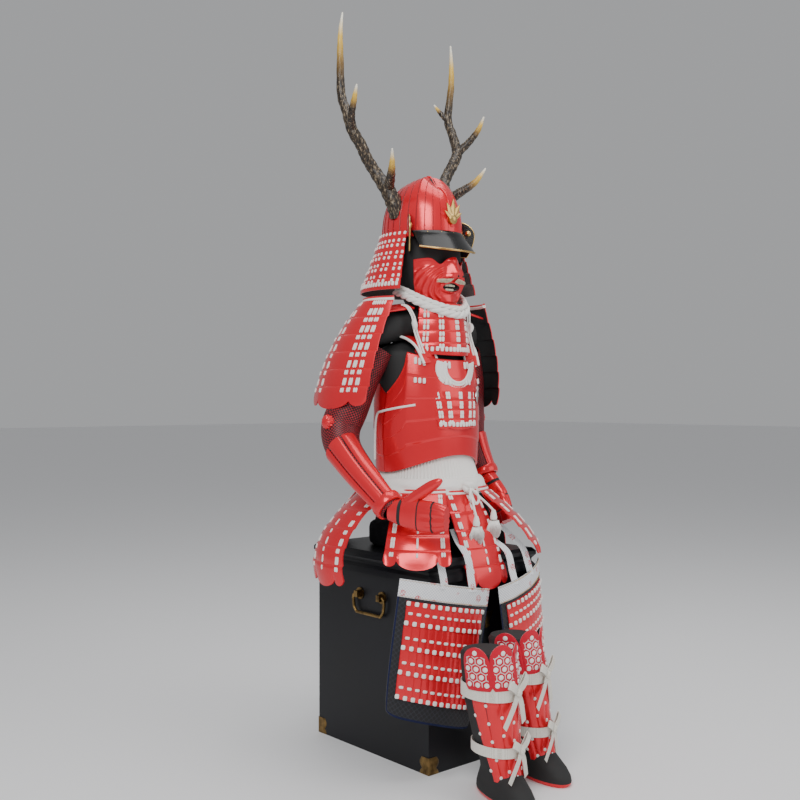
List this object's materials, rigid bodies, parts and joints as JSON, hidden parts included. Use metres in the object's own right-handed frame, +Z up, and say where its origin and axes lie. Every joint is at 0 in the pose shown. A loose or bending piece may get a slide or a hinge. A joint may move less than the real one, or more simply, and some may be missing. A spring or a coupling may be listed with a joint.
{
  "type": "samurai armour on a stand and storage chest",
  "caption": "Red-lacquered samurai armour with antlered helmet and white lacing, seated on a black storage chest with swinging bail handles.",
  "frame": {"origin": "middle of the chest's underside, on the floor", "axes": "+Z up, the armour faces -Y, its right arm is at -X"},
  "size_m": [0.5792, 0.8035, 1.8512],
  "materials": {
    "lacquer_red": "gloss",
    "lacquer_black": "gloss",
    "wood_black": "gloss",
    "brass": "satin",
    "lace_white": "matte",
    "cloth_black": "matte",
    "horn": "satin"
  },
  "bodies": {
    "armour": {"chest_body": "wood_black", "chest_lid": "wood_black", "handle_plate_front_right": "brass", "handle_plate_front_left": "brass", "handle_plate_back_right": "brass", "handle_plate_back_left": "brass", "seat_pad": "cloth_black", "helmet_bowl": "lacquer_red", "visor": "lacquer_black", "neck_guard": "lacquer_red", "turn_back_right": "lacquer_black", "turn_back_left": "lacquer_black", "antler_right": "horn", "antler_left": "horn", "leaf_crest": "brass", "face_mask": "lacquer_red", "throat_guard": "lacquer_red", "neck_wrap": "lace_white", "cuirass_front": "lacquer_red", "cuirass_back": "lacquer_red", "shoulder_strap_right": "lacquer_red", "shoulder_strap_left": "lacquer_red", "bib_collar": "lace_white", "bib_lames": "lacquer_red", "lacing_band": "lace_white", "tasset_front": "lacquer_red", "tasset_front_right": "lacquer_red", "tasset_front_left": "lacquer_red", "tasset_side_right": "lacquer_red", "tasset_side_left": "lacquer_red", "tasset_back_right": "lacquer_red", "tasset_back_left": "lacquer_red", "waist_sash": "lace_white", "sash_knot": "lace_white", "tassel_right": "lace_white", "tassel_left": "lace_white", "thigh_panel_right": "lacquer_red", "thigh_panel_left": "lacquer_red", "arm_sleeve_right": "cloth_black", "arm_sleeve_left": "cloth_black", "forearm_splints_right": "lacquer_red", "forearm_splints_left": "lacquer_red", "hand_guard_right": "lacquer_red", "hand_guard_left": "lacquer_red", "shoulder_guard_right": "lacquer_red", "shoulder_guard_left": "lacquer_red", "shin_plates_right": "lacquer_red", "knee_guard_right": "lacquer_red", "gaiter_right": "cloth_black", "shin_plates_left": "lacquer_red", "knee_guard_left": "lacquer_red", "gaiter_left": "cloth_black", "sash_cord_right": "lace_white", "sash_cord_left": "lace_white", "side_tie": "lace_white", "body_form": "cloth_black"},
    "right_bail": {"bail_right": "brass"},
    "left_bail": {"bail_left": "brass"}
  },
  "joints": [
    {"name": "right_bail_swing", "type": "hinge", "parent": "armour", "child": "right_bail", "pos_m": [-0.184, 0, 0.388], "axis": [0, 1, 0], "range_deg": [0, 100]},
    {"name": "left_bail_swing", "type": "hinge", "parent": "armour", "child": "left_bail", "pos_m": [0.184, 0, 0.388], "axis": [0, -1, 0], "range_deg": [0, 100]}
  ]
}
